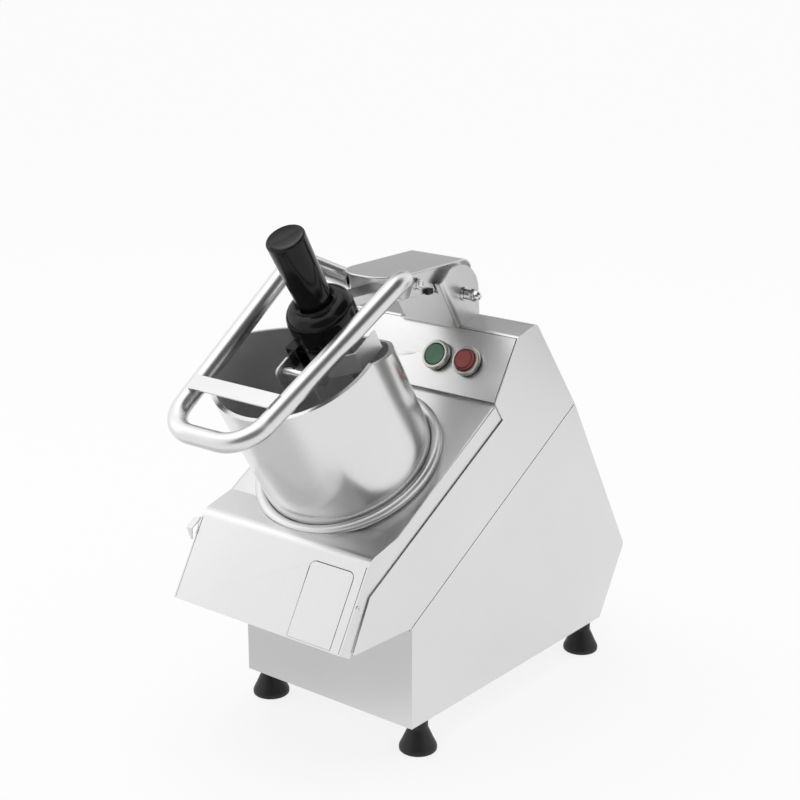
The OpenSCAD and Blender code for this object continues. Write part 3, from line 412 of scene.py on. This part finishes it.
def picked(piece, kind, wanted):
    """Opens a piece in edit mode with only the wanted faces or edges selected."""
    bpy.ops.object.mode_set(mode="EDIT")
    bpy.ops.mesh.select_mode(type=kind)
    bpy.ops.mesh.select_all(action="DESELECT")
    bpy.ops.object.mode_set(mode="OBJECT")
    for element in piece.data.polygons if kind == "FACE" else piece.data.edges:
        element.select = wanted(element)
    bpy.ops.object.mode_set(mode="EDIT")


nut_radius, nut_foot, nut_shoulder = 8.6, 5, 12.6
nut_strips = 48
rib_height = 0.0006


def is_rib(face):
    """Every third strip round the straight part of the nut's outside is a rib."""
    middle = face.center * 1000
    strip_angle = 2 * math.pi / nut_strips
    outside = math.hypot(middle.x, middle.y) > nut_radius * math.cos(strip_angle)
    strip = round(math.atan2(middle.y, middle.x) / strip_angle - 0.5)
    return outside and nut_foot < middle.z < nut_shoulder and strip % 3 == 0


gland_nut = turned("gland_nut", [
    (5.8, nut_foot), (nut_radius, nut_foot), (nut_radius, nut_shoulder), (8.2, 14.6), (7.2, 16.6),
    (6.2, 17.6), (5.8, 17.6), (5.8, nut_foot)], (0, 0, 0), steps=nut_strips)
picked(gland_nut, "FACE", is_rib)
bpy.ops.mesh.extrude_region_shrink_fatten(TRANSFORM_OT_shrink_fatten={"value": -rib_height})
bpy.ops.object.mode_set(mode="OBJECT")
posed(gland_nut, Vector(gland_place) / 1000, gland_turn)
fitted(gland_nut, gloss_black, "body")
gland_seal = turned("gland_seal", [
    (4.5, 6), (5.7, 6), (5.7, 17.8), (5.3, 18.4), (4.8, 18.4), (4.5, 17.8), (4.5, 6)],
    gland_place, gland_turn)
fitted(gland_seal, rubber, "body")

# Drive: a motor hung under a welded floor plate, and a spindle in two bearings in a cast housing.
# All of it is inside the base; the plate and the castings keep a plain blasted skin.
cast_alloy = grained_steel("cast_alloy", (0.62, 0.62, 0.63), rough=0.5, grain_scale=200, relief=0.2)
clothe("floor_plate", satin_steel)
for node in ("motor_body", "bearing_housing"):
    clothe(node, cast_alloy)
for node in ("upper_bearing", "lower_bearing", "spindle_shaft"):
    clothe(node, bright_steel)

# Cutting chamber: a cast drum under the lid, open at the front, with a bent sheet chute below it.
# The chute is screwed to the drum's mouth and guides the slices down in front of the base.
cast_edge = 0.0006
dressed("chamber_bowl", cast_alloy, cast_edge)
dressed("discharge_chute", satin_steel)

# Upper housing: folded from the same sheet as the base and welded to it along the sloping seam.
# The control panel is a separate plate, set in the front with a narrow gap all round.
for node in ("upper_shell", "button_panel"):
    dressed(node, satin_steel)

# Push buttons: straight bezels of satin nickel on a black gasket, clamped to the panel from behind.
# The green cap lies flush in its bezel and the red one stands proud; both are dyed moulded plastic.
# A thin black ring seals the green cap, and another is let into the red cap's face.
nickel = grained_steel("satin_nickel", (0.60, 0.59, 0.55), rough=0.34, grain_scale=1400, relief=0.10)
button_place = {"start": (26, 46.24, 400.78), "stop": (68, 46.24, 400.78)}
button_turn = (57.8, 0, 0)
button_steps = 96
bezel_profile = [
    (7.7, -6), (11, -6), (11, -0.4), (13.5, -0.4), (13.5, 2.2), (16.6, 2.2), (17, 2.6), (17, 6.7),
    (16.8, 7.3), (16.3, 7.8), (15.5, 8.0), (13.9, 8.0), (13.3, 7.8), (12.9, 7.3), (12.9, 0.2),
    (7.7, 0.2), (7.7, -6)]
gasket_profile = [(13.6, -0.4), (16.5, -0.4), (16.5, 1.8), (16.2, 2.1), (13.6, 2.1), (13.6, -0.4)]
cap_rise = {"start": 8.1, "stop": 12.0}
cap_finish = {
    "start": moulded("green_cap", (0.098, 0.215, 0.138), rough=0.42, relief=0.05, Specular_IOR_Level=0.35),
    "stop": moulded("red_cap", (0.265, 0.064, 0.060), rough=0.42, relief=0.05, Specular_IOR_Level=0.35)}
for button, place in button_place.items():
    bezel = turned(button + "_bezel_turned", bezel_profile, place, button_turn, button_steps)
    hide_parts(button + "_bezel")
    fitted(bezel, nickel, "body", turned_angle)
    gasket = turned(button + "_gasket", gasket_profile, place, button_turn, button_steps)
    fitted(gasket, rubber, "body")
    top = cap_rise[button]
    cap = turned(button + "_cap_moulded", [
        (0, -14), (7.4, -14), (7.4, 3.9), (12.0, 3.9), (12.0, top - 0.7), (11.85, top - 0.3),
        (11.5, top - 0.05), (11.1, top), (6, top - 0.1), (0, top - 0.15)], place, button_turn, button_steps)
    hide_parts(button + "_button")
    fitted(cap, cap_finish[button], body_of[button + "_button"], turned_angle)
    clothe(button + "_switch", gloss_black)
start_seal = turned("start_seal", [
    (12.05, 5.6), (12.85, 5.6), (12.85, 7.5), (12.6, 7.7), (12.3, 7.7), (12.05, 7.5), (12.05, 5.6)],
    button_place["start"], button_turn, button_steps)
fitted(start_seal, rubber, "body")
stop_inlay = turned("stop_inlay", [
    (10.1, 11.4), (11.3, 11.4), (11.3, 12.0), (11.1, 12.15), (10.3, 12.15), (10.1, 12.0), (10.1, 11.4)],
    button_place["stop"], button_turn, button_steps)
fitted(stop_inlay, rubber, body_of["stop_button"])

# Hinge bracket: one 3 mm sheet folded into a broad right ear, a front web and a small left ear.
# Its fold is round, its edges are dressed, and its base strip is welded to the housing.
deck_tilt = 31
pin_place = (0, 70.97, 470.27)
ear_face = 0.043
pin_to_web = 0.028
bracket_fold = 0.0085
web_normal = Vector((0, -math.cos(math.radians(deck_tilt)), -math.sin(math.radians(deck_tilt))))
web_level = web_normal.dot(Vector(pin_place) / 1000) + pin_to_web


def lies_on(level, face):
    """True for a point's level that is a face's own, but for the rounding of the mesh."""
    return abs(level - face) < 2e-5


def edges_picked(piece, wanted):
    """Opens a piece in edit mode with only the edges selected that have both ends wanted."""
    picked(piece, "EDGE", lambda edge: all(wanted(piece.data.vertices[end].co) for end in edge.vertices))


bracket = copied("hinge_bracket")
edges_picked(bracket, lambda end: lies_on(end.x, ear_face) and lies_on(web_normal.dot(end), web_level))
bpy.ops.mesh.bevel(offset=bracket_fold, segments=10, affect="EDGES")
bpy.ops.object.mode_set(mode="OBJECT")
rounded_off(bracket, sheet_edge)
fitted(bracket, satin_steel, "body")

# Hinge pin: a turned pin with a domed head on the left, through both ears and the lever's hub.
# On the right it carries a washer, a sleeve and a dome nut.
# Rubber bumpers on the bracket's lip take the weight of the hub's stop plate.
across_turn = (0, 90, 0)
nut_edge = 0.0005
hinge_pin = turned("hinge_pin_turned", [
    (0, -47.8), (3.4, -47.5), (5.6, -46.8), (6.8, -45.6), (7, -44.6), (7, -43.3), (4.5, -43.3), (4.5, 43.2),
    (7.7, 43.2), (8, 43.5), (8, 45.3), (7.7, 45.6), (4.5, 45.6), (4.5, 58), (0, 58)], pin_place, across_turn)
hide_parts("hinge_pin")
fitted(hinge_pin, bright_steel, "body")
pin_sleeve = turned("pin_sleeve", [
    (4.6, 45.9), (5.7, 45.9), (6.1, 46.3), (6.1, 52.4), (5.7, 52.8), (4.6, 52.8), (4.6, 45.9)],
    pin_place, across_turn)
fitted(pin_sleeve, bright_steel, "body")
pin_nut = turned("pin_nut", [
    (4.6, 53.1), (7.2, 53.1), (7.2, 58.6), (4.6, 58.6), (4.6, 53.1)],
    pin_place, across_turn, steps=6, edge=nut_edge)
fitted(pin_nut, bright_steel, "body")
pin_dome = turned("pin_dome", [
    (0, 58.4), (6, 58.4), (6, 59.6), (5.7, 61.4), (4.8, 63.2), (3.4, 64.6), (1.7, 65.4), (0, 65.6)],
    pin_place, across_turn)
fitted(pin_dome, bright_steel, "body")
dressed("lever_bumpers", rubber)

# Lid: the sloping deck, folded down into a ledge, an apron and two side flanges.
# A cover plate with a rounded corner lies in the apron's right half, and a screw holds the right flange.
# The flanges are let out a little, so that they pass the housing's sides with a hair's gap.
flange_face = 0.1179
flange_let_out = 0.1183
lid_fold = 0.0016
lid_edge = 0.0003
lid_screw_place = (0, -205.2, 207.47)
deck_point = Vector((0, 0.0295, 0.3659))
deck_normal = Vector((0, -math.sin(math.radians(deck_tilt)), math.cos(math.radians(deck_tilt))))
deck_level = deck_normal.dot(deck_point)
lid = copied("lid")
edges_picked(lid, lambda end: lies_on(abs(end.x), flange_face) and lies_on(deck_normal.dot(end), deck_level))
bpy.ops.mesh.bevel(offset=lid_fold, segments=4, affect="EDGES")
bpy.ops.object.mode_set(mode="OBJECT")
for point in lid.data.vertices:
    if lies_on(abs(point.co.x), flange_face):
        point.co.x = math.copysign(flange_let_out, point.co.x)
rounded_off(lid, lid_edge)
fitted(lid, satin_steel, "body")
dressed("apron_plate", satin_steel)
lid_screw = turned("lid_screw_turned", [
    (0, 117.6), (2.9, 117.6), (2.9, 118.5), (2.5, 119.0), (1.7, 119.2), (1.3, 119.1), (1.2, 118.6),
    (0, 118.6)], lid_screw_place, across_turn, steps=36)
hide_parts("lid_screw")
fitted(lid_screw, bright_steel, "body")

# Latch: a bright hook that turns on a headed pin on the lid's left flange and catches the housing.
# Hook and pin are polished steel; a folded finger tab stands out from the hook's front corner.
hook_edge = 0.0006
dressed("latch_keeper", bright_steel)
dressed("latch_hook", bright_steel, hook_edge)
tab_place = (-0.12515, -0.1945, 0.2384)
tab_width, tab_length, tab_wall = 0.0087, 0.0150, 0.0014
tip_fold = (0, -0.0067, -0.0111)
tip_side = 0.0033
tip_share = 0.24
deck_turn = (deck_tilt, 0, 0)
bpy.ops.object.select_all(action="DESELECT")
bpy.ops.mesh.primitive_plane_add(size=1)
tab = bpy.context.object
tab.name = "latch_tab"
tab.scale = (tab_width, tab_length, 1)
bpy.ops.object.transform_apply(location=True, rotation=True, scale=True)
edges_picked(tab, lambda end: lies_on(end.y, -tab_length / 2))
bpy.ops.mesh.extrude_region_move(TRANSFORM_OT_translate={"value": tip_fold})
bpy.ops.transform.translate(value=(tip_side, 0, 0))
bpy.ops.transform.resize(value=(tip_share, 1, 1), center_override=(tip_side, 0, 0))
bpy.ops.object.mode_set(mode="OBJECT")
applied(tab, "SOLIDIFY", thickness=tab_wall, offset=-1)
rounded_off(tab, sheet_edge, turned_angle)
posed(tab, tab_place, deck_turn)
fitted(tab, satin_steel, "latch")

# Hopper: a heavy round steel tube with a flat back and a stepped rim, welded to the lid.
# It is polished outside and rough inside, and a round satin bead runs about its foot.
polished_steel = grained_steel("polished_steel", steel_tone, rough=0.21, grain_scale=900, relief=0.03)
tube_edge = 0.0006
hopper = dressed("hopper", polished_steel, tube_edge)
# The bore is rougher than the outside, and its lighter tone is painted light that lifts the shade inside the
# tube.
bore_steel_painted_light = grained_steel("bore_steel_painted_light", (0.86, 0.86, 0.86), rough=0.55, grain_scale=900, relief=0.05)
hopper.data.materials.append(bore_steel_painted_light.material)
feed_place = Vector((0, -0.07722, 0.30178))
inward = -0.3
for face in hopper.data.polygons:
    outward = face.center - feed_place
    outward -= outward.dot(deck_normal) * deck_normal
    if outward.normalized().dot(face.normal) < inward:
        face.material_index = 1
bead_steel = grained_steel("bead_steel", steel_tone, rough=0.38, grain_scale=900, relief=0.02)
dressed("hopper_ring", bead_steel, tube_edge)

# Discs: a moulded ejector with four paddles below, and the slicing disc with two blades above.
# A hand nut holds both on the spindle.
ejector_edge, blade_edge, hand_edge = 0.0006, 0.0001, 0.0008
dressed("ejector_disc", gloss_black, ejector_edge)
dressed("cutting_disc", polished_steel)
dressed("disc_blades", satin_steel, blade_edge)
dressed("disc_nut", gloss_black, hand_edge)

# Lever: one bright steel tube bent into a loop, with both ends welded into the hub.
# A plain cross plate is welded on top of its arms near the front.
tube_steel = grained_steel("tube_steel", (0.79, 0.79, 0.79), rough=0.31, grain_scale=1100, relief=0.02)
dressed("lever_tube", tube_steel)
dressed("cross_plate", satin_steel)

# Hub: two cheeks with bosses on the hinge pin, joined by a web, under a cover plate with a curled back.
# A flat bar runs forward from the web and carries the guide head.
cover_edge = 0.0009
for node in ("lever_hub", "carrier_bar"):
    dressed(node, satin_steel)
dressed("lever_cover", satin_steel, cover_edge)

# Hub bolt: a hexagon with a round head on a washer, through the hub's right cheek.
# A small rubber block with a dished face is fixed to the cheek behind it.
bolt_place = (0, -2.03, 493.27)
bolt_washer = turned("bolt_washer", [
    (0, 33), (6.7, 33), (7, 33.3), (7, 34.5), (6.7, 34.8), (0, 34.8)], bolt_place, across_turn)
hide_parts("hub_bolt")
fitted(bolt_washer, bright_steel, "lever")
bolt_hex = turned("bolt_hex", [(0, 34.6), (6.2, 34.6), (6.2, 38.4), (0, 38.4)],
                  bolt_place, across_turn, steps=6, edge=nut_edge)
fitted(bolt_hex, bright_steel, "lever")
bolt_head = turned("bolt_head", [
    (0, 38.2), (3.8, 38.2), (3.8, 39.2), (3.4, 39.8), (2.6, 40), (0, 40)], bolt_place, across_turn, steps=36)
fitted(bolt_head, bright_steel, "lever")
block_size = (0.0050, 0.0095, 0.0065)
block_place = (0.0354, 0.0168, 0.4816)
block_rim, block_dish, block_edge = 0.0018, 0.0010, 0.0008
bpy.ops.object.select_all(action="DESELECT")
bpy.ops.mesh.primitive_cube_add(size=1)
hub_stop = bpy.context.object
hub_stop.name = "hub_stop"
hub_stop.scale = block_size
hub_stop.location = block_place
bpy.ops.object.transform_apply(location=True, rotation=True, scale=True)
picked(hub_stop, "FACE", lambda face: face.normal.x > 0.9)
bpy.ops.mesh.inset(thickness=block_rim)
bpy.ops.transform.translate(value=(-block_dish, 0, 0))
bpy.ops.object.mode_set(mode="OBJECT")
rounded_off(hub_stop, block_edge, angle=25, segments=3)
fitted(hub_stop, rubber, "lever")

# Pusher: a folded steel tray that fills the hopper, with two cheeks that hang it on the pivot.
# A folded guard runs from the right cheek round the plunger.
pusher_steel = grained_steel("pusher_steel", (0.84, 0.84, 0.84), rough=0.46, grain_scale=900, relief=0.04)
for node in ("pusher_box", "pusher_cheeks", "pusher_guard"):
    dressed(node, pusher_steel)

# Pivot: a bright knuckle under the guide head, and a pin with a round head at each end.
# The pin passes through the cheeks and the knuckle.
for node in ("pivot_knuckle", "pivot_pin"):
    dressed(node, bright_steel)

# Guide head: a black moulded collar with a domed shoulder, a neck ring and two lugs on the knuckle.
# The steel guide tube hangs below it in the pusher.
collar_edge = 0.0008
dressed("guide_head", gloss_black, collar_edge)
dressed("guide_tube", bright_steel)

# Plunger: a black moulded handle on a long rod, free to slide in the guide head.
# The handle widens upwards, with a round rim and a dished top.
plunger_place = (6.5, -35.645, 326.76)
handle = turned("plunger_handle_moulded", [
    (0, 197.1), (18, 197.1), (18.7, 197.4), (19, 198.1), (19.6, 222), (20.3, 250), (21.1, 279.4),
    (21.1, 280.6), (20.8, 281.6), (20.2, 282.3), (19.4, 282.6), (18.6, 282.4), (17.6, 281.8),
    (15.6, 281.0), (11, 280.3), (5, 279.9), (0, 279.8)], plunger_place, deck_turn, steps=96)
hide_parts("plunger_handle")
fitted(handle, gloss_black, body_of["plunger_handle"], turned_angle)
dressed("plunger_rod", gloss_black)
